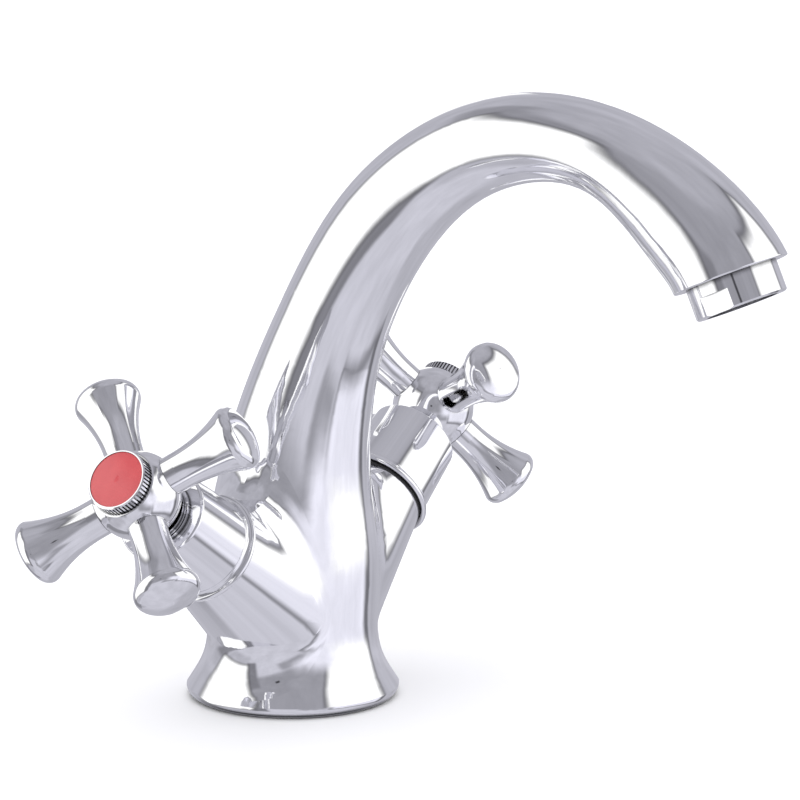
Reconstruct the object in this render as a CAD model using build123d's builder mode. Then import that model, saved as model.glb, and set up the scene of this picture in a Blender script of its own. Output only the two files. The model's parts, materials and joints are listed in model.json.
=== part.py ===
"""Two-handle basin mixer: cast body with an arched spout, two ceramic half-turn valves, cross handles."""
import os
from math import asin, atan2, cos, degrees, radians, sin, sqrt, tan

from build123d import *

os.makedirs("parts", exist_ok=True)

# Foot and trunk
foot_diameter = 56.8
foot_edge_radius = 3.0
trunk_diameter = 46.0
waist_height = 15.0
foot_flare = 3.6

# Line of the spout: upright column, long neck arc, tighter arch
column_height = 40.0
arch_radius = 58.5
arch_reach = 78.3
arch_height = 96.6
arch_end_angle = 152.0
outlet_tilt = 24.0

# Where along that line the thickness is set: shares of the neck's turn, then angles of the arch
shoulder_share = 0.156
lower_neck_share = 0.376
upper_neck_share = 0.648
rise_angle = 78.0
crown_angle = 108.0
drop_angle = 128.0
lip_angle = 141.0

# How far the section's middle lies inside the arch's circle
bend_inset = 0.4
rise_inset = 0.7
crown_inset = 0.4
drop_inset = 1.2
lip_inset = 0.4
mouth_outset = 0.7

# Thickness of the spout along its line
shoulder_taper = 4.4
lower_neck_diameter = 35.2
upper_neck_diameter = 29.4
bend_width = 27.2
bend_depth = 26.8
rise_width = 27.0
rise_depth = 23.2
crown_width = 26.8
crown_depth = 21.9
drop_width = 27.2
drop_depth = 26.4
lip_width = 28.6
lip_depth = 28.6
mouth_diameter = 29.6
mouth_edge_radius = 0.4
spout_wall = 3.2

# Arms of the body that carry the valves
valve_rise = 33.65
valve_crossing_height = 20.6
valve_forward_distance = 0.4
arm_length = 46.8
arm_root_distance = 4.0
arm_root_inset = 2.5
arm_end_diameter = 27.2
arm_blend_land = 6.8

# Waterways in the body
headwork_insertion = 24.8
chamber_diameter = 19.2
headwork_thread_length = 11.3
headwork_thread_diameter = 20.4
seat_port_diameter = 9.0
seat_port_overrun = 1.8
mixing_port_diameter = 8.0
mixing_floor_height = 52.0
mixing_floor_diameter = 26.0
inlet_spacing = 18.0
inlet_thread_diameter = 8.92
inlet_thread_depth = 14.0
inlet_bore_diameter = 7.0

# Fixing to the deck
stud_hole_offset = 12.5
stud_hole_diameter = 6.64
stud_hole_depth = 16.0
foot_seal_diameter = 44.8
foot_seal_width = 2.4
foot_seal_height = 2.4

# Clearances
running_clearance = 0.1
thread_clearance = 0.05
press_clearance = 0.02

# Valve headwork, seals and ceramic discs
seat_seal_height = 3.0
seat_seal_wall = 3.0
disc_diameter = 15.3
disc_thickness = 3.0
disc_port_offset = 1.7
disc_port_radius = 5.6
sleeve_wall = 1.25
sleeve_gap = 0.4
thread_runout = 0.5
window_width = 8.0
thrust_washer_thickness = 1.0
headwork_gasket_thickness = 0.8
headwork_flange_diameter = 23.6
headwork_flange_thickness = 2.4
hex_across_flats = 17.0
hex_height = 7.0
stem_diameter = 12.0

# Spindle
spindle_diameter = 9.0
spindle_foot_length = 14.0
spindle_foot_width = 7.0
spindle_foot_height = 3.0
drive_key_width = 3.0
drive_key_depth = 1.0
spline_diameter = 8.0
spline_depth = 0.4
spline_length = 9.4
spline_teeth = 20
oring_thickness = 1.3
oring_spacing = 6.0
oring_squeeze_gap = 0.04
clip_thickness = 0.7
clip_diameter = 10.8
clip_recess = 0.8
clip_groove_depth = 0.8
clip_opening = 70.0

# Bonnet and the nut that holds it
bonnet_seal_thickness = 1.0
bonnet_seal_width = 1.4
bonnet_rim_diameter = 30.0
bonnet_rim_thickness = 1.6
bonnet_flare_height = 1.6
bonnet_flare_bow = 0.3
bonnet_base_diameter = 26.8
bonnet_top_diameter = 24.4
bonnet_length = 23.2
bonnet_wall = 1.1
bonnet_roof = 2.0
bonnet_edge_radius = 0.8
bonnet_hole_gap = 0.3
bonnet_nut_diameter = 17.2
bonnet_nut_height = 1.2
bonnet_nut_step_width = 1.0
bonnet_nut_step_height = 0.8

# Cross handle
hub_gap = 1.0
hub_radius = 11.3
hub_base_height = 8.8
hub_top_height = 7.2
hub_pocket_diameter = 13.0
hub_pocket_depth = 3.4
hub_edge_radius = 0.5
arm_seat_depth = 1.1
arm_stud_diameter = 5.0
arm_stud_length = 3.3
handle_arm_count = 4
handle_arm_reach = 33.8
handle_arm_neck_diameter = 10.0
handle_arm_neck_length = 3.0
handle_arm_head_diameter = 18.7
handle_arm_dome = 3.0
handle_arm_rim_radius = 2.6
hot_rest_turn = -51.6
cold_rest_turn = 56.4

# Handle screw
screw_diameter = 4.0
screw_length = 11.0
screw_head_diameter = 7.2
screw_head_height = 2.4
screw_socket_width = 2.5
screw_socket_depth = 1.4
screw_hole_gap = 0.2

# Index button on the handle
button_diameter = 16.2
button_height = 3.2
button_rim_width = 0.6
button_recess = 0.9
button_roof = 1.6
button_skirt_length = 2.6
button_skirt_wall = 1.1
button_tooth_count = 54
button_groove_width = 0.46
button_groove_depth = 0.35
button_edge = 0.3
index_disc_thickness = 0.7
index_disc_crown = 0.5

# Aerator in the mouth of the spout
aerator_socket_diameter = 23.0
aerator_socket_depth = 7.5
aerator_throat_diameter = 17.4
aerator_gasket_thickness = 1.5
aerator_shoulder_width = 0.2
aerator_ring_height = 8.0
aerator_wall = 1.9
aerator_lip_height = 1.4
aerator_lip_width = 0.7
aerator_flat_depth = 0.7
aerator_flat_height = 5.0
aerator_edge = 0.4
flow_hole_diameter = 1.9
flow_hole_pitch = 2.6
flow_hole_rings = 3
flow_holes_in_first_ring = 6
screen_thickness = 0.4
screen_gap = 0.9
screen_pitch = 1.3
screen_rim = 1.0

# Line of the spout: the neck arc leaves the upright column and runs into the arch without a corner
neck_radius = (arch_reach**2 - arch_radius**2 + (arch_height - column_height) ** 2) / (
    2 * (arch_reach - arch_radius)
)
neck_end_angle = degrees(atan2(arch_height - column_height, neck_radius - arch_reach))

# Distances along a valve's axis, from where the two axes cross, outwards
valve_seat = arm_length - headwork_insertion
thread_floor = arm_length - headwork_thread_length
fixed_disc_floor = valve_seat + seat_seal_height
moving_disc_floor = fixed_disc_floor + disc_thickness
spindle_foot_floor = moving_disc_floor + disc_thickness
washer_floor = spindle_foot_floor + spindle_foot_height
headwork_roof = washer_floor + thrust_washer_thickness
headwork_flange_floor = arm_length + headwork_gasket_thickness
hex_floor = headwork_flange_floor + headwork_flange_thickness
bonnet_floor = arm_length + bonnet_seal_thickness
bonnet_top = bonnet_floor + bonnet_length
bonnet_nut_step = bonnet_top + bonnet_nut_height
bonnet_nut_top = bonnet_nut_step + bonnet_nut_step_height
stem_top = bonnet_nut_top - clip_recess
hub_floor = bonnet_nut_top + hub_gap
hub_centre = hub_floor + hub_base_height
hub_top = hub_centre + hub_top_height
pocket_floor = hub_top - hub_pocket_depth
spline_top = hub_floor + spline_length
button_top = hub_top + button_height
index_disc_floor = button_top - button_recess

# Widths that follow from others
sleeve_bore = disc_diameter + 2 * running_clearance
sleeve_diameter = sleeve_bore + 2 * sleeve_wall
spindle_bore = spindle_diameter + 2 * running_clearance
hub_stud_seat = hub_radius - arm_seat_depth
aerator_ring_diameter = aerator_socket_diameter + 2 * aerator_shoulder_width
aerator_bore = aerator_ring_diameter - 2 * aerator_wall
aerator_insert_diameter = aerator_bore - 2 * thread_clearance


def arc_plane(reach, height, radius, angle):
    """Plane square to an arc of the spout's line, at an angle from the level behind its centre."""
    turn = radians(angle)
    place = (0, radius * cos(turn) - reach, height + radius * sin(turn))
    return Plane(origin=place, x_dir=(1, 0, 0), z_dir=(0, -sin(turn), cos(turn)))


def neck_plane(angle):
    """Plane across the neck."""
    return arc_plane(neck_radius, column_height, neck_radius, angle)


def arch_plane(angle, inset):
    """Plane across the arch, a little inside its circle."""
    return arc_plane(arch_reach, arch_height, arch_radius - inset, angle)


def valve_axis(side):
    """Plane at the foot of one valve's axis: z runs out along the valve, x up across it."""
    rise = radians(valve_rise)
    return Plane(
        origin=(0, -valve_forward_distance, valve_crossing_height),
        x_dir=(-side * sin(rise), 0, cos(rise)),
        z_dir=(side * cos(rise), 0, sin(rise)),
    )


def handle_arm_axis(axis, turn):
    """Plane at the hub's centre whose z runs out along one arm of the handle."""
    angle = radians(turn)
    outwards = axis.x_dir * cos(angle) + axis.y_dir * sin(angle)
    return Plane(origin=axis.offset(hub_centre).origin, x_dir=axis.z_dir, z_dir=outwards)


def section_plane(axis):
    """Plane along an axis: x is the radius and y the distance along the axis."""
    return Plane(origin=axis.origin, x_dir=axis.x_dir, z_dir=axis.x_dir.cross(axis.z_dir))


def centre_line(axis):
    """The axis itself."""
    return Axis(axis.origin, axis.z_dir)


def turn_outline(axis, outline, mode=Mode.ADD):
    """Turn a closed outline of (radius, distance) points about an axis."""
    with BuildSketch(section_plane(axis)) as profile:
        with BuildLine():
            Polyline(*outline, close=True)
        make_face()
    return revolve(profile.sketch, centre_line(axis), mode=mode)


def turn_ring(axis, inner_diameter, outer_diameter, bottom, top, mode=Mode.ADD):
    """Plain ring or cylinder about an axis, between two distances along it."""
    inner = inner_diameter / 2
    outer = outer_diameter / 2
    return turn_outline(axis, [(inner, bottom), (outer, bottom), (outer, top), (inner, top)], mode)


def ring_piece(axis, inner_diameter, outer_diameter, bottom, top):
    """Plain ring as a piece of its own."""
    with BuildPart() as ring:
        turn_ring(axis, inner_diameter, outer_diameter, bottom, top)
    return ring.part


def spline_outline(outer_diameter):
    """Corners of the toothed section that drives the handle."""
    corners = []
    for step in range(2 * spline_teeth):
        radius = outer_diameter / 2 - (step % 2) * spline_depth
        angle = radians(step * 180 / spline_teeth)
        corners.append((radius * cos(angle), radius * sin(angle)))
    return corners


def save(name, piece):
    """Label a finished piece and write its file."""
    piece.label = name
    export_step(piece, f"parts/{name}.step")


def make_body_casting(outlet):
    """Foot, trunk and spout in one sweep, an arm each side, and the waterways inside."""
    flare_height = (foot_edge_radius + waist_height) / 2
    flare_diameter = trunk_diameter + foot_flare
    shoulder_diameter = trunk_diameter - shoulder_taper
    trunk_middle = (waist_height + column_height) / 2
    arm_blend_radius = trunk_diameter - arm_end_diameter - arm_blend_land
    solid_stations = [
        (Plane.XY.offset(foot_edge_radius), foot_diameter, foot_diameter),
        (Plane.XY.offset(flare_height), flare_diameter, flare_diameter),
        (Plane.XY.offset(waist_height), trunk_diameter, trunk_diameter),
        (Plane.XY.offset(trunk_middle), trunk_diameter, trunk_diameter),
        (Plane.XY.offset(column_height), trunk_diameter, trunk_diameter),
        (neck_plane(shoulder_share * neck_end_angle), shoulder_diameter, shoulder_diameter),
    ]
    hollow_stations = [
        (neck_plane(lower_neck_share * neck_end_angle), lower_neck_diameter, lower_neck_diameter),
        (neck_plane(upper_neck_share * neck_end_angle), upper_neck_diameter, upper_neck_diameter),
        (arch_plane(neck_end_angle, bend_inset), bend_width, bend_depth),
        (arch_plane(rise_angle, rise_inset), rise_width, rise_depth),
        (arch_plane(crown_angle, crown_inset), crown_width, crown_depth),
        (arch_plane(drop_angle, drop_inset), drop_width, drop_depth),
    ]
    mouth_stations = [
        (arch_plane(lip_angle, lip_inset), lip_width, lip_depth),
        (outlet, mouth_diameter, mouth_diameter),
    ]
    mixing_floor = neck_plane(degrees(asin((mixing_floor_height - column_height) / neck_radius)))
    socket_floor = outlet.offset(-aerator_socket_depth)
    with BuildPart() as casting:
        for plane, width, depth in solid_stations + hollow_stations + mouth_stations:
            with BuildSketch(plane):
                Ellipse(width / 2, depth / 2)
        loft()
        fillet(casting.faces().sort_by_distance(outlet.origin)[0].edges(), mouth_edge_radius)

        # Arms, run into the trunk with a wide blend
        for side in (-1, 1):
            arm_outline = [
                (0, arm_root_distance),
                (trunk_diameter / 2 - arm_root_inset, arm_root_distance),
                (arm_end_diameter / 2, arm_length),
                (0, arm_length),
            ]
            turn_outline(valve_axis(side), arm_outline)
        meeting_edges = casting.edges().filter_by(
            lambda edge: edge.geom_type == GeomType.BSPLINE
            and abs(edge.center().X) > trunk_diameter / 4
            and foot_edge_radius < edge.bounding_box().min.Z
            and edge.bounding_box().max.Z < arch_height
        )
        fillet(meeting_edges, arm_blend_radius)

        # Rounded lower edge of the foot
        with BuildSketch():
            Circle(foot_diameter / 2)
        extrude(amount=foot_edge_radius)
        fillet(casting.faces().sort_by(Axis.Z)[0].edges(), foot_edge_radius - press_clearance)

        # Spout waterway from the mixing chamber to the aerator socket
        with BuildSketch(mixing_floor):
            Circle(mixing_floor_diameter / 2)
        for plane, width, depth in hollow_stations:
            with BuildSketch(plane):
                Ellipse(width / 2 - spout_wall, depth / 2 - spout_wall)
        with BuildSketch(socket_floor):
            Circle(aerator_throat_diameter / 2)
        loft(mode=Mode.SUBTRACT)
        turn_ring(outlet, 0, aerator_socket_diameter, -aerator_socket_depth, 0, Mode.SUBTRACT)

        for side in (-1, 1):
            axis = valve_axis(side)

            # Valve chamber, stepped from the thread down to the seat
            seat_port = seat_port_diameter / 2
            chamber = chamber_diameter / 2
            thread = headwork_thread_diameter / 2 + thread_clearance
            inlet_x = inlet_spacing / 2
            port_end = inlet_x / cos(radians(valve_rise)) - seat_port_overrun
            bore_outline = [
                (0, port_end),
                (seat_port, port_end),
                (seat_port, valve_seat),
                (chamber, valve_seat),
                (chamber, thread_floor),
                (thread, thread_floor),
                (thread, arm_length),
                (0, arm_length),
            ]
            turn_outline(axis, bore_outline, Mode.SUBTRACT)

            # Port from the chamber up to the mixing chamber
            chamber_middle = axis.offset((valve_seat + thread_floor) / 2).origin
            way_up = mixing_floor.origin - chamber_middle
            with BuildSketch(Plane(origin=chamber_middle, z_dir=way_up)):
                Circle(mixing_port_diameter / 2)
            extrude(amount=way_up.length, mode=Mode.SUBTRACT)

            # Inlet from the underside up to the seat port
            inlet_top = valve_crossing_height + inlet_x * tan(radians(valve_rise))
            with Locations(Plane(origin=(side * inlet_x, 0, 0), z_dir=(0, 0, -1))):
                Hole(inlet_bore_diameter / 2, inlet_top)
                Hole(inlet_thread_diameter / 2, inlet_thread_depth)

        # Fixing stud hole and the groove of the foot seal
        with Locations(Plane(origin=(0, stud_hole_offset, 0), z_dir=(0, 0, -1))):
            Hole(stud_hole_diameter / 2, stud_hole_depth)
        groove_inner = foot_seal_diameter - 2 * foot_seal_width - 2 * running_clearance
        groove_outer = foot_seal_diameter + 2 * running_clearance
        turn_ring(Plane.XY, groove_inner, groove_outer, 0, foot_seal_height, Mode.SUBTRACT)
    return casting.part


def make_aerator_housing(outlet):
    """Screwed ring with a lip that holds the insert, and two flats for a spanner."""
    thread = aerator_socket_diameter / 2 - thread_clearance
    ring = aerator_ring_diameter / 2
    bore = aerator_bore / 2
    top = aerator_gasket_thickness - aerator_socket_depth
    lip_floor = aerator_ring_height - aerator_lip_height
    outline = [
        (bore, top),
        (thread, top),
        (thread, 0),
        (ring, 0),
        (ring, aerator_ring_height - aerator_edge),
        (ring - aerator_edge, aerator_ring_height),
        (bore - aerator_lip_width, aerator_ring_height),
        (bore - aerator_lip_width, lip_floor),
        (bore, lip_floor),
    ]
    across_flats = aerator_ring_diameter - 2 * aerator_flat_depth
    with BuildPart() as housing:
        turn_outline(outlet, outline)
        with BuildSketch(outlet.offset(aerator_ring_height - aerator_flat_height)):
            Circle(aerator_ring_diameter)
            Rectangle(across_flats, 2 * aerator_ring_diameter, mode=Mode.SUBTRACT)
        extrude(amount=aerator_flat_height, mode=Mode.SUBTRACT)
    return housing.part


def make_flow_insert(outlet):
    """Plastic flow former, bored with rings of small holes."""
    top = aerator_gasket_thickness - aerator_socket_depth
    bottom = aerator_ring_height - aerator_lip_height - screen_thickness
    with BuildPart() as insert:
        with BuildSketch(outlet.offset(top)):
            Circle(aerator_insert_diameter / 2)
            Circle(flow_hole_diameter / 2, mode=Mode.SUBTRACT)
            for ring in range(1, flow_hole_rings + 1):
                with PolarLocations(ring * flow_hole_pitch, ring * flow_holes_in_first_ring):
                    Circle(flow_hole_diameter / 2, mode=Mode.SUBTRACT)
        extrude(amount=bottom - top)
    return insert.part


def make_screen(outlet):
    """Fine square mesh that rests on the lip of the aerator."""
    bottom = aerator_ring_height - aerator_lip_height
    mesh_radius = aerator_insert_diameter / 2 - screen_rim
    count = int(2 * mesh_radius / screen_pitch)
    middle = (count - 1) / 2
    open_cells = []
    for column in range(count):
        for row in range(count):
            x = (column - middle) * screen_pitch
            y = (row - middle) * screen_pitch
            if sqrt(x**2 + y**2) + screen_gap / 2 < mesh_radius:
                open_cells.append((x, y))
    with BuildPart() as screen:
        with BuildSketch(outlet.offset(bottom)):
            Circle(aerator_insert_diameter / 2)
            with Locations(*open_cells):
                Rectangle(screen_gap, screen_gap, mode=Mode.SUBTRACT)
        extrude(amount=-screen_thickness)
    return screen.part


def make_headwork(axis):
    """Brass valve body: sleeve round the discs, thread, flange, hexagon and stem."""
    sleeve = sleeve_diameter / 2
    thread = headwork_thread_diameter / 2
    flange = headwork_flange_diameter / 2
    stem = stem_diameter / 2
    sleeve_floor = valve_seat + sleeve_gap
    outline = [
        (0, sleeve_floor),
        (sleeve, sleeve_floor),
        (sleeve, thread_floor + thread_runout),
        (thread, thread_floor + thread_runout),
        (thread, headwork_flange_floor),
        (flange, headwork_flange_floor),
        (flange, hex_floor),
        (stem, hex_floor),
        (stem, stem_top),
        (0, stem_top),
    ]
    with BuildPart() as headwork:
        turn_outline(axis, outline)
        with BuildSketch(axis.offset(hex_floor)):
            RegularPolygon(hex_across_flats / 2, 6, major_radius=False)
        extrude(amount=hex_height)
        turn_ring(axis, 0, sleeve_bore, sleeve_floor, headwork_roof, Mode.SUBTRACT)
        turn_ring(axis, 0, spindle_bore, headwork_roof, stem_top, Mode.SUBTRACT)
        with BuildSketch(axis.offset(spindle_foot_floor)):
            Rectangle(window_width, 2 * sleeve_diameter)
        extrude(amount=spindle_foot_height, mode=Mode.SUBTRACT)
    return headwork.part


def make_ceramic_disc(axis, floor, port_side):
    """Ceramic disc with a half-moon port on one side."""
    with BuildPart() as disc:
        with BuildSketch(axis.offset(floor)):
            Circle(disc_diameter / 2)
        extrude(amount=disc_thickness)
        with BuildSketch(axis.offset(floor)):
            Circle(disc_port_radius)
            with Locations((0, port_side * (disc_port_offset - disc_port_radius) / 2)):
                Rectangle(2 * disc_port_radius, disc_port_radius + disc_port_offset, mode=Mode.SUBTRACT)
        extrude(amount=disc_thickness, mode=Mode.SUBTRACT)
    return disc.part


def make_moving_disc(axis):
    """Upper ceramic disc, closed over the lower one, with the slot that the spindle drives."""
    with BuildPart() as disc:
        add(make_ceramic_disc(axis, moving_disc_floor, -1))
        with BuildSketch(axis.offset(spindle_foot_floor)):
            Rectangle(2 * disc_diameter, drive_key_width + 2 * running_clearance)
        extrude(amount=-drive_key_depth - running_clearance, mode=Mode.SUBTRACT)
    return disc.part


def make_spindle(axis):
    """Spindle: drive key, foot, shaft with seal grooves and clip groove, toothed end."""
    shaft = spindle_diameter / 2
    clip_floor = stem_top + running_clearance
    clip_top = clip_floor + clip_thickness
    with BuildPart() as spindle:
        with BuildSketch(axis.offset(spindle_foot_floor)):
            SlotOverall(spindle_foot_length, spindle_foot_width)
        extrude(amount=spindle_foot_height)
        with BuildSketch(axis.offset(spindle_foot_floor)):
            Rectangle(spindle_foot_length - spindle_foot_width, drive_key_width)
        extrude(amount=-drive_key_depth)
        turn_ring(axis, 0, spindle_diameter, washer_floor, hub_floor - running_clearance)
        with BuildSketch(axis.offset(washer_floor)):
            with BuildLine():
                Polyline(*spline_outline(spline_diameter), close=True)
            make_face()
        extrude(amount=spline_top - washer_floor)
        for distance in oring_distances():
            floor = distance - oring_thickness / 2 - running_clearance
            top = distance + oring_thickness / 2 + running_clearance
            groove = spindle_bore - 2 * (oring_thickness + 2 * oring_squeeze_gap)
            turn_ring(axis, groove, spindle_bore, floor, top, Mode.SUBTRACT)
        turn_ring(axis, 2 * (shaft - clip_groove_depth), spindle_bore, clip_floor, clip_top, Mode.SUBTRACT)
        turn_ring(axis, 0, screw_diameter + 2 * thread_clearance, screw_tip(), spline_top, Mode.SUBTRACT)
    return spindle.part


def oring_distances():
    """Where the two spindle seals sit along the stem."""
    middle = (hex_floor + stem_top) / 2
    return (middle - oring_spacing / 2, middle + oring_spacing / 2)


def screw_tip():
    """Where the bottom of the screw's hole lies along the axis."""
    return pocket_floor - screw_length - screw_hole_gap


def make_orings(axis):
    """Two rubber rings in the grooves of the spindle."""
    with BuildPart() as orings:
        with BuildSketch(section_plane(axis)):
            radius = spindle_bore / 2 - oring_squeeze_gap - oring_thickness / 2
            with Locations(*[(radius, distance) for distance in oring_distances()]):
                Circle(oring_thickness / 2)
        revolve(axis=centre_line(axis))
    return orings.part


def make_clip(axis):
    """Open spring ring that keeps the spindle in the stem."""
    inner = spindle_diameter / 2 - clip_groove_depth + press_clearance
    floor = stem_top + running_clearance + press_clearance
    with BuildPart() as clip:
        with BuildSketch(section_plane(axis)):
            with Locations(((inner + clip_diameter / 2) / 2, floor + clip_thickness / 2 - press_clearance)):
                Rectangle(clip_diameter / 2 - inner, clip_thickness - 2 * press_clearance)
        revolve(axis=centre_line(axis), revolution_arc=360 - clip_opening)
    return clip.part


def make_bonnet(axis):
    """Bell-shaped cover with a beaded lower edge and a rounded shoulder."""
    hole = stem_diameter / 2 + bonnet_hole_gap
    base = bonnet_base_diameter / 2
    shoulder = bonnet_top_diameter / 2
    rim = bonnet_rim_diameter / 2
    rim_start = rim - bonnet_rim_thickness / 2
    rim_top = bonnet_floor + bonnet_rim_thickness
    flare_top = rim_top + bonnet_flare_height
    flare_middle = (
        base + bonnet_flare_bow * (rim_start - base),
        rim_top + bonnet_flare_bow * bonnet_flare_height,
    )
    roof = bonnet_top - bonnet_roof
    with BuildPart() as bonnet:
        with BuildSketch(section_plane(axis)):
            with BuildLine():
                Polyline((hole, bonnet_top), (shoulder, bonnet_top), (base, flare_top))
                ThreePointArc((base, flare_top), flare_middle, (rim_start, rim_top))
                ThreePointArc(
                    (rim_start, rim_top),
                    (rim, bonnet_floor + bonnet_rim_thickness / 2),
                    (rim_start, bonnet_floor),
                )
                Polyline(
                    (rim_start, bonnet_floor),
                    (base - bonnet_wall, bonnet_floor),
                    (shoulder - bonnet_wall, roof),
                    (hole, roof),
                    (hole, bonnet_top),
                )
            make_face()
        revolve(axis=centre_line(axis))
        shoulder_edge = bonnet.edges().filter_by(GeomType.CIRCLE).group_by(centre_line(axis))[-1]
        fillet(shoulder_edge.sort_by(SortBy.RADIUS)[-1], bonnet_edge_radius)
    return bonnet.part


def make_bonnet_nut(axis):
    """Stepped ring nut that holds the bonnet down on the stem."""
    bore = stem_diameter / 2 + thread_clearance
    outer = bonnet_nut_diameter / 2
    step = outer - bonnet_nut_step_width
    outline = [
        (bore, bonnet_top),
        (outer, bonnet_top),
        (outer, bonnet_nut_step),
        (step, bonnet_nut_step),
        (step, bonnet_nut_top),
        (bore, bonnet_nut_top),
    ]
    with BuildPart() as nut:
        turn_outline(axis, outline)
    return nut.part


def make_hub(axis, arm_turns):
    """Round hub with a toothed socket below, a pocket above and a flat seat for each arm."""
    bottom_radius = sqrt(hub_radius**2 - hub_base_height**2)
    top_radius = sqrt(hub_radius**2 - hub_top_height**2)
    with BuildPart() as hub:
        with BuildSketch(section_plane(axis)):
            with BuildLine():
                Polyline((0, hub_top), (0, hub_floor), (bottom_radius, hub_floor))
                ThreePointArc((bottom_radius, hub_floor), (hub_radius, hub_centre), (top_radius, hub_top))
                Line((top_radius, hub_top), (0, hub_top))
            make_face()
        revolve(axis=centre_line(axis))
        fillet(hub.edges().filter_by(lambda edge: edge.is_closed), hub_edge_radius)
        turn_ring(axis, 0, hub_pocket_diameter, pocket_floor, hub_top, Mode.SUBTRACT)
        turn_ring(axis, 0, screw_diameter + 2 * screw_hole_gap, spline_top, pocket_floor, Mode.SUBTRACT)
        with BuildSketch(axis.offset(hub_floor)):
            with BuildLine():
                Polyline(*spline_outline(spline_diameter + 2 * thread_clearance), close=True)
            make_face()
        extrude(amount=spline_length + running_clearance, mode=Mode.SUBTRACT)
        for turn in arm_turns:
            seat = handle_arm_axis(axis, turn).offset(hub_stud_seat)
            with BuildSketch(seat):
                Circle(hub_radius)
            extrude(amount=hub_radius, mode=Mode.SUBTRACT)
            with BuildSketch(seat):
                Circle(arm_stud_diameter / 2 + thread_clearance)
            extrude(amount=-arm_stud_length - running_clearance, mode=Mode.SUBTRACT)
    return hub.part


def make_handle_arms(axis, arm_turns):
    """Trumpet-shaped arms with domed ends, each on a stud screwed into the hub."""
    stud = arm_stud_diameter / 2
    neck = handle_arm_neck_diameter / 2
    head = handle_arm_head_diameter / 2
    stud_end = hub_stud_seat - arm_stud_length
    flare_start = hub_stud_seat + handle_arm_neck_length
    rim = handle_arm_reach - handle_arm_dome
    dome_radius = (head**2 + handle_arm_dome**2) / (2 * handle_arm_dome)
    dome_half = head / 2
    dome_point = handle_arm_reach - dome_radius + sqrt(dome_radius**2 - dome_half**2)
    with BuildPart() as arms:
        for turn in arm_turns:
            arm_axis = handle_arm_axis(axis, turn)
            with BuildSketch(section_plane(arm_axis)):
                with BuildLine():
                    Polyline(
                        (0, handle_arm_reach),
                        (0, stud_end),
                        (stud, stud_end),
                        (stud, hub_stud_seat),
                        (neck, hub_stud_seat),
                        (neck, flare_start),
                    )
                    TangentArc((neck, flare_start), (head, rim), tangent=(0, 1))
                    ThreePointArc((head, rim), (dome_half, dome_point), (0, handle_arm_reach))
                make_face()
            revolve(axis=centre_line(arm_axis))
        rims = arms.edges().filter_by(lambda edge: edge.is_closed).group_by(SortBy.RADIUS)[-1]
        fillet(rims, handle_arm_rim_radius)
    return arms.part


def make_handle_screw(axis):
    """Socket screw through the hub into the end of the spindle."""
    with BuildPart() as screw:
        turn_ring(axis, 0, screw_diameter, pocket_floor - screw_length, pocket_floor)
        turn_ring(axis, 0, screw_head_diameter, pocket_floor, pocket_floor + screw_head_height)
        with BuildSketch(axis.offset(pocket_floor + screw_head_height)):
            RegularPolygon(screw_socket_width / 2, 6, major_radius=False)
        extrude(amount=-screw_socket_depth, mode=Mode.SUBTRACT)
    return screw.part


def make_index_button(axis):
    """Knurled cap that plugs into the hub and carries the coloured disc."""
    rim = button_diameter / 2
    recess = rim - button_rim_width
    skirt = hub_pocket_diameter / 2 - thread_clearance
    skirt_floor = hub_top - button_skirt_length
    roof = index_disc_floor - button_roof
    outline = [
        (0, roof),
        (skirt - button_skirt_wall, roof),
        (skirt - button_skirt_wall, skirt_floor),
        (skirt, skirt_floor),
        (skirt, hub_top),
        (rim, hub_top),
        (rim, button_top - button_edge),
        (rim - button_edge, button_top),
        (recess, button_top),
        (recess, index_disc_floor),
        (0, index_disc_floor),
    ]
    with BuildPart() as button:
        turn_outline(axis, outline)
        with BuildSketch(axis.offset(hub_top)):
            with PolarLocations(rim, button_tooth_count):
                Rectangle(2 * button_groove_depth, button_groove_width)
        extrude(amount=button_height - button_edge, mode=Mode.SUBTRACT)
    return button.part


def make_index_disc(axis):
    """Slightly crowned colour disc, set in the button."""
    radius = button_diameter / 2 - button_rim_width - thread_clearance
    edge = index_disc_floor + index_disc_thickness
    crown = edge + index_disc_crown
    crown_radius = (radius**2 + index_disc_crown**2) / (2 * index_disc_crown)
    with BuildPart() as disc:
        with BuildSketch(section_plane(axis)):
            with BuildLine():
                Polyline((0, crown), (0, index_disc_floor), (radius, index_disc_floor), (radius, edge))
                RadiusArc((radius, edge), (0, crown), -crown_radius)
            make_face()
        revolve(axis=centre_line(axis))
    return disc.part


outlet_slope = radians(outlet_tilt)
outlet = Plane(
    origin=arch_plane(arch_end_angle, -mouth_outset).origin,
    x_dir=(1, 0, 0),
    z_dir=(0, -sin(outlet_slope), -cos(outlet_slope)),
)
save("body_casting", make_body_casting(outlet))
foot_seal_inner = foot_seal_diameter - 2 * foot_seal_width
save("foot_seal", ring_piece(Plane.XY, foot_seal_inner, foot_seal_diameter, 0, foot_seal_height))
gasket_outer = aerator_socket_diameter - 2 * thread_clearance
gasket_floor = -aerator_socket_depth
gasket_top = gasket_floor + aerator_gasket_thickness
save("aerator_gasket", ring_piece(outlet, aerator_throat_diameter, gasket_outer, gasket_floor, gasket_top))
save("aerator_housing", make_aerator_housing(outlet))
save("aerator_flow_insert", make_flow_insert(outlet))
save("aerator_screen", make_screen(outlet))

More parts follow.
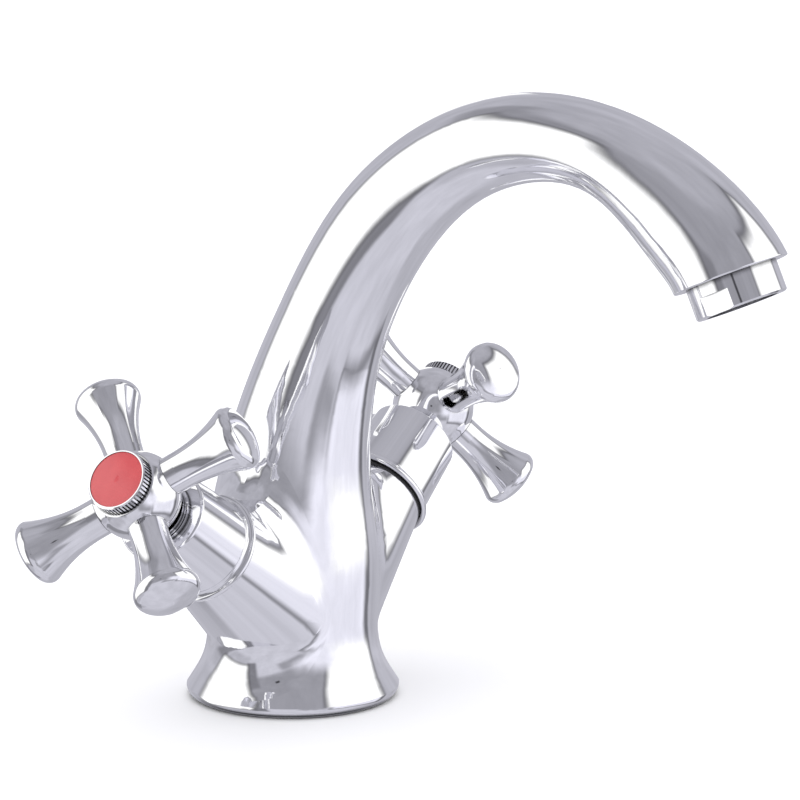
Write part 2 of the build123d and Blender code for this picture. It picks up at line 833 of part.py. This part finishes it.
for name, side, rest_turn in (("hot", -1, hot_rest_turn), ("cold", 1, cold_rest_turn)):
    axis = valve_axis(side)
    arm_turns = [rest_turn + 360 * index / handle_arm_count for index in range(handle_arm_count)]
    seal_inner = disc_diameter - 2 * seat_seal_wall
    gasket_inner = headwork_thread_diameter + 2 * running_clearance
    bonnet_seal_outer = arm_end_diameter - 2 * running_clearance
    bonnet_seal_inner = bonnet_seal_outer - 2 * bonnet_seal_width

    # Fixed pieces of the valve
    save(f"{name}_seat_seal", ring_piece(axis, seal_inner, disc_diameter, valve_seat, fixed_disc_floor))
    save(f"{name}_fixed_disc", make_ceramic_disc(axis, fixed_disc_floor, 1))
    save(f"{name}_headwork", make_headwork(axis))
    thrust_washer = ring_piece(axis, spindle_bore, disc_diameter, washer_floor, headwork_roof)
    save(f"{name}_thrust_washer", thrust_washer)
    gasket = ring_piece(axis, gasket_inner, headwork_flange_diameter, arm_length, headwork_flange_floor)
    save(f"{name}_headwork_gasket", gasket)
    bonnet_seal = ring_piece(axis, bonnet_seal_inner, bonnet_seal_outer, arm_length, bonnet_floor)
    save(f"{name}_bonnet_seal", bonnet_seal)
    save(f"{name}_bonnet", make_bonnet(axis))
    save(f"{name}_bonnet_nut", make_bonnet_nut(axis))

    # Pieces that turn with the handle
    save(f"{name}_moving_disc", make_moving_disc(axis))
    save(f"{name}_spindle", make_spindle(axis))
    save(f"{name}_spindle_seals", make_orings(axis))
    save(f"{name}_spindle_clip", make_clip(axis))
    save(f"{name}_handle_hub", make_hub(axis, arm_turns))
    save(f"{name}_handle_arms", make_handle_arms(axis, arm_turns))
    save(f"{name}_handle_screw", make_handle_screw(axis))
    save(f"{name}_index_button", make_index_button(axis))
    save(f"{name}_index_disc", make_index_disc(axis))
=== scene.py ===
"""Looks of a two-handle basin mixer: chrome, brass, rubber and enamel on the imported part, in a studio."""
import json
from math import cos, degrees, radians, sin

import bpy
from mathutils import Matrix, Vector

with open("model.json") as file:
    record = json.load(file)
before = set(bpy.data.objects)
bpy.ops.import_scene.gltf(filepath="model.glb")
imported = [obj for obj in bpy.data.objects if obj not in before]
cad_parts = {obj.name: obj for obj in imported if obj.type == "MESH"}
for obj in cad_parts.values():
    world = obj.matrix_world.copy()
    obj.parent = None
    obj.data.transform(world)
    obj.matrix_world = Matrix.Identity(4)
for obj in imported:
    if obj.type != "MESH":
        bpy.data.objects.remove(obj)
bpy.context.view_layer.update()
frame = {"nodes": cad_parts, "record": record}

# Camera of the photograph, in metres, with its lens and sensor in millimetres
camera_azimuth = radians(-57.03)
camera_elevation = radians(10.93)
camera_distance = 1.0367
camera_aim = Vector((0, -0.03413, 0.08323))
camera_lens = 180
camera_sensor_width = 36
camera_clip_start = 0.05
camera_clip_end = 60

# Floor and the lamp over the tap, in metres and watts
floor_size = 20
floor_roughness = 0.9
lamp_height = 3.0
lamp_size = 9.0
lamp_power = 280

# Greys of the room, and where one gives way to the next: the height and softness of the edge, in degrees
room_tint = (1.0, 0.996, 1.11)
table_light = 0.65
wall_light = 0.52
ceiling_light = 0.465
table_edge = (-4, 8)
ceiling_edge = (52, 6)

# Cloudiness of the room: its lumps, and the range that it dims or lifts the light by
cloud_scale = 3.0
cloud_detail = 4.0
cloud_roughness = 0.6
room_unevenness = (0.70, 1.22)

# White panels and dark flags, later ones over earlier ones: the bearings of the left and right edges from the
# camera, the heights of the low and high edges from level and their softness, in degrees, then the brightness
studio_patches = {
    "table behind, left": ((-190, -116, -68, -6), 8, 0.50),
    "table behind, right": ((98, 190, -68, -8), 8, 0.50),
    "wall behind the camera": ((-62, 46, -6, 58), 7, 0.355),
    "cove over the left panel": ((-146, -44, 36, 62), 6, 0.32),
    "cove over the right panel": ((34, 130, 38, 60), 6, 0.40),
    "table under the left panel": ((-114, -46, -62, -34), 6, 0.53),
    "dark cloth on the table": ((-146, -118, -72, -28), 6, 0.28),
    "stand of the left panel": ((-50, -30, -44, 18), 4, 0.24),
    "edge of the table": ((8, 40, -28, -9), 5, 0.36),
    "frame of the left panel": ((-123, -45, -41, 50), 4, 0.10),
    "left panel": ((-119, -50, -37, 45), 6, 1.30),
    "frame of the right panel": ((43, 125, -36, 54), 3, 0.18),
    "lower right panel": ((46, 114, -31, -4), 5, 0.90),
    "right panel": ((48, 120, -9, 48), 5, 1.28),
    "glow beside the right panel": ((24, 58, -14, 14), 11, 0.95),
    "white backdrop": ((-190, -172, -8, 18), 4, 1.28),
    "camera": ((-8, -3, 12, 17), 1.2, 0.07),
}

# Colours of the finishes, in pairs that each finish varies between
chrome_colours = ((0.90, 0.90, 0.92), (0.95, 0.95, 0.96))
brass_colours = ((0.80, 0.60, 0.28), (0.62, 0.44, 0.20))
steel_colours = ((0.50, 0.51, 0.53), (0.66, 0.67, 0.69))
rubber_colours = ((0.012, 0.012, 0.013), (0.045, 0.045, 0.047))
ceramic_colours = ((0.80, 0.79, 0.75), (0.90, 0.89, 0.87))
plastic_colours = ((0.10, 0.10, 0.11), (0.17, 0.17, 0.18))
red_colours = ((0.52, 0.055, 0.065), (0.62, 0.085, 0.09))
blue_colours = ((0.03, 0.09, 0.40), (0.05, 0.13, 0.50))
floor_colours = ((0.93, 0.93, 0.94), (0.95, 0.95, 0.95))
# Painted shade: near-black colours that chrome and brass take in the crevices between pieces, where shade
# falls
chrome_painted_shade = (0.02, 0.02, 0.022)
brass_painted_shade = (0.015, 0.012, 0.01)

# Fine relief of the finishes, and the painted shade in the crevices between pieces
relief_depth = 0.0001
painted_shade_softness = 0.25
painted_shade_samples = 8


class Field:
    """A value or colour inside a node tree, with arithmetic on it."""

    def __init__(self, nodes, socket):
        self.nodes = nodes
        self.socket = socket

    def maths(self, operation, other=0.0):
        """One Math node, with this value first."""
        return self.nodes.maths(operation, self, other)

    def __add__(self, other):
        return self.nodes.maths("ADD", self, other)

    def __radd__(self, other):
        return self.nodes.maths("ADD", other, self)

    def __sub__(self, other):
        return self.nodes.maths("SUBTRACT", self, other)

    def __rsub__(self, other):
        return self.nodes.maths("SUBTRACT", other, self)

    def __mul__(self, other):
        return self.nodes.maths("MULTIPLY", self, other)

    def __rmul__(self, other):
        return self.nodes.maths("MULTIPLY", other, self)

    def between(self, low, high):
        """Stretch 0..1 to low..high."""
        return low + (high - low) * self

    def step(self, middle, softness):
        """Rise smoothly from 0 to 1 about a middle value."""
        ends = {"Value": self, "From Min": middle - softness, "From Max": middle + softness}
        return self.nodes.node("ShaderNodeMapRange", ends, interpolation_type="SMOOTHSTEP")

    def colours(self, first, second):
        """Mix of two colours, by this value."""
        return self.nodes.node("ShaderNodeMix", {0: self, 6: first, 7: second}, output=2, data_type="RGBA")


class Nodes:
    """A node tree that is built by naming each node once."""

    def __init__(self, tree):
        self.tree = tree

    def node(self, kind, inputs, output=0, **settings):
        """Add any node, join or set its inputs, and give back one of its outputs."""
        made = self.tree.nodes.new(kind)
        for key, value in settings.items():
            setattr(made, key, value)
        for key, value in inputs.items():
            self.join(made.inputs[key], value)
        return Field(self, made.outputs[output])

    def maths(self, operation, first, second):
        """One Math node."""
        return self.node("ShaderNodeMath", {0: first, 1: second}, operation=operation)

    def join(self, socket, value):
        """Feed a socket from a field, or set it."""
        if isinstance(value, Field):
            self.tree.links.new(value.socket, socket)
        elif socket.type == "RGBA":
            socket.default_value = (*value, 1)
        else:
            socket.default_value = value


class Paint(Nodes):
    """One finish, built from nodes on object coordinates."""

    def __init__(self, name, **settings):
        self.material = bpy.data.materials.new(name)
        self.material.use_nodes = True
        super().__init__(self.material.node_tree)
        self.shader = self.tree.nodes["Principled BSDF"]
        for key, value in settings.items():
            self.set(key.replace("_", " ").title(), value)
        self.place = self.node("ShaderNodeTexCoord", {}, output="Object")

    def set(self, name, value):
        """Set or feed one socket of the shader."""
        self.join(self.shader.inputs[name], value)

    def noise(self, scale, detail=3.0, roughness=0.5, stretch=(1, 1, 1)):
        """Soft cloud of values, with its scale in lumps per metre."""
        where = self.node("ShaderNodeMapping", {"Vector": self.place, "Scale": stretch})
        return self.node(
            "ShaderNodeTexNoise",
            {"Vector": where, "Scale": scale, "Detail": detail, "Roughness": roughness},
        )

    def openness(self, reach, middle):
        """0 in the crevices between pieces, where shade is painted into the colour, 1 in the open."""
        light = self.node(
            "ShaderNodeAmbientOcclusion", {"Distance": reach}, output="AO", samples=painted_shade_samples
        )
        return light.step(middle, painted_shade_softness)

    def bump(self, height, strength):
        """Raise the surface by a height field."""
        relief = {"Height": height, "Strength": strength, "Distance": relief_depth}
        self.set("Normal", self.node("ShaderNodeBump", relief))


def chrome_paint():
    """Polished plate: clear mirror with faint smears and a trace of polishing marks."""
    paint = Paint("chrome", metallic=1.0)
    smears = paint.noise(scale=45, detail=4)
    marks = paint.noise(scale=900, detail=2, stretch=(1, 1, 0.3))
    plate = smears.colours(*chrome_colours)
    # Painted shade: the plate goes near black in the crevices between pieces, where it lies in shade
    paint.set("Base Color", paint.openness(reach=0.0022, middle=0.62).colours(chrome_painted_shade, plate))
    paint.set("Roughness", smears.between(0.02, 0.07) + 0.02 * marks)
    paint.bump(marks, strength=0.02)
    return paint.material


def brass_paint():
    """Turned brass with tool rings and a little tarnish."""
    paint = Paint("brass", metallic=1.0)
    tarnish = paint.noise(scale=130, detail=5)
    rings = paint.noise(scale=2200, detail=1, stretch=(1, 0.1, 1))
    metal = tarnish.colours(*brass_colours)
    # Painted shade: the brass goes near black in its crevices, where it lies in shade
    paint.set("Base Color", paint.openness(reach=0.008, middle=0.75).colours(brass_painted_shade, metal))
    paint.set("Roughness", tarnish.between(0.18, 0.42))
    paint.bump(rings, strength=0.15)
    return paint.material


def steel_paint():
    """Drawn stainless steel."""
    paint = Paint("steel", metallic=1.0)
    grain = paint.noise(scale=1800, stretch=(0.15, 1, 1))
    paint.set("Base Color", grain.colours(*steel_colours))
    paint.set("Roughness", grain.between(0.22, 0.38))
    paint.bump(grain, strength=0.1)
    return paint.material


def rubber_paint():
    """Black sealing rubber with a powdery bloom."""
    paint = Paint("rubber")
    bloom = paint.noise(scale=400, detail=5)
    paint.set("Base Color", bloom.colours(*rubber_colours))
    paint.set("Roughness", bloom.between(0.55, 0.8))
    paint.bump(bloom, strength=0.2)
    return paint.material


def ceramic_paint():
    """Lapped white ceramic with a fine speckle."""
    paint = Paint("ceramic")
    speckle = paint.noise(scale=1500, detail=4, roughness=0.7)
    paint.set("Base Color", speckle.colours(*ceramic_colours))
    paint.set("Roughness", speckle.between(0.12, 0.3))
    return paint.material


def plastic_paint():
    """Moulded grey plastic with a fine texture."""
    paint = Paint("grey_plastic")
    grain = paint.noise(scale=1400, detail=4)
    paint.set("Base Color", grain.colours(*plastic_colours))
    paint.set("Roughness", grain.between(0.4, 0.6))
    paint.bump(grain, strength=0.15)
    return paint.material


def enamel_paint(name, colours):
    """Gloss colour under a clear skin, slightly uneven."""
    paint = Paint(name, coat_weight=0.6)
    flow = paint.noise(scale=260)
    paint.set("Base Color", flow.colours(*colours))
    paint.set("Roughness", flow.between(0.25, 0.4))
    paint.bump(paint.noise(scale=700, detail=2), strength=0.04)
    return paint.material


paints = {
    "chrome": chrome_paint(),
    "brass": brass_paint(),
    "steel": steel_paint(),
    "rubber": rubber_paint(),
    "ceramic": ceramic_paint(),
    "grey_plastic": plastic_paint(),
    "red_enamel": enamel_paint("red_enamel", red_colours),
    "blue_enamel": enamel_paint("blue_enamel", blue_colours),
}

for part in frame["record"]["subparts"]:
    piece = frame["nodes"][part["node"]]
    piece.data.materials.clear()
    piece.data.materials.append(paints[part["material_slot"]])


def look_at(thing, target):
    """Turn a lamp or camera towards a point."""
    thing.rotation_mode = "QUATERNION"
    thing.rotation_quaternion = (target - thing.location).to_track_quat("-Z", "Y")


def make_lamp():
    """Large square lamp over the tap, which the chrome doesn't mirror."""
    bpy.ops.object.light_add(type="AREA", location=(0, 0, lamp_height))
    lamp = bpy.context.object
    lamp.name = "top_box"
    lamp.data.shape = "SQUARE"
    lamp.data.size = lamp_size
    lamp.data.energy = lamp_power
    lamp.visible_glossy = False
    look_at(lamp, camera_aim)


def make_floor():
    """Plain pale floor under the tap."""
    bpy.ops.mesh.primitive_plane_add(size=floor_size)
    floor = bpy.context.object
    floor.name = "floor"
    floor.visible_glossy = False
    paint = Paint("floor_paint", roughness=floor_roughness)
    paint.set("Base Color", paint.noise(scale=3).colours(*floor_colours))
    floor.data.materials.append(paint.material)


def make_world():
    """The room as the chrome sees it: grey walls and ceiling, pale table, white panels, dark flags."""
    world = bpy.data.worlds.new("studio")
    bpy.context.scene.world = world
    world.use_nodes = True
    nodes = Nodes(world.node_tree)
    direction = nodes.node("ShaderNodeTexCoord", {}, output="Generated")
    towards = (sin(camera_azimuth), -cos(camera_azimuth), 0)
    rightwards = (cos(camera_azimuth), sin(camera_azimuth), 0)
    upwards = (0, 0, 1)

    def along(way):
        """How far a direction of the room goes one way."""
        ways = {0: direction, 1: way}
        return nodes.node("ShaderNodeVectorMath", ways, output="Value", operation="DOT_PRODUCT")

    bearing = degrees(1) * along(rightwards).maths("ARCTAN2", along(towards))
    height = degrees(1) * along(upwards).maths("ARCSINE")

    def patch(edges, softness):
        """1 on a soft-edged patch of the room, 0 around it."""
        left, right, low, high = edges
        across = bearing.step(left, softness) * (1 - bearing.step(right, softness))
        return across * height.step(low, softness) * (1 - height.step(high, softness))

    def tinted(level):
        """Colour of one level: greys take the room's tint, and panels past white stay neutral."""
        return tuple(level * share for share in room_tint) if level < 1 else (level,) * 3

    light = height.step(*table_edge).colours(tinted(table_light), tinted(wall_light))
    light = height.step(*ceiling_edge).colours(light, tinted(ceiling_light))
    for edges, softness, level in studio_patches.values():
        light = patch(edges, softness).colours(light, tinted(level))
    lumps = {"Vector": direction, "Scale": cloud_scale, "Detail": cloud_detail, "Roughness": cloud_roughness}
    cloud = nodes.node("ShaderNodeTexNoise", lumps)
    uneven = {0: 1.0, 6: light, 7: cloud.between(*room_unevenness)}
    light = nodes.node("ShaderNodeMix", uneven, output=2, data_type="RGBA", blend_type="MULTIPLY")
    nodes.join(world.node_tree.nodes["Background"].inputs["Color"], light)


def make_camera():
    """The photograph's camera."""
    level = cos(camera_elevation)
    back = Vector((sin(camera_azimuth) * level, -cos(camera_azimuth) * level, sin(camera_elevation)))
    bpy.ops.object.camera_add(location=camera_aim + camera_distance * back)
    camera = bpy.context.object
    camera.data.lens = camera_lens
    camera.data.sensor_width = camera_sensor_width
    camera.data.clip_start = camera_clip_start
    camera.data.clip_end = camera_clip_end
    look_at(camera, camera_aim)
    bpy.context.scene.camera = camera


make_floor()
make_world()
make_lamp()
make_camera()
bpy.context.scene.view_settings.view_transform = "Standard"
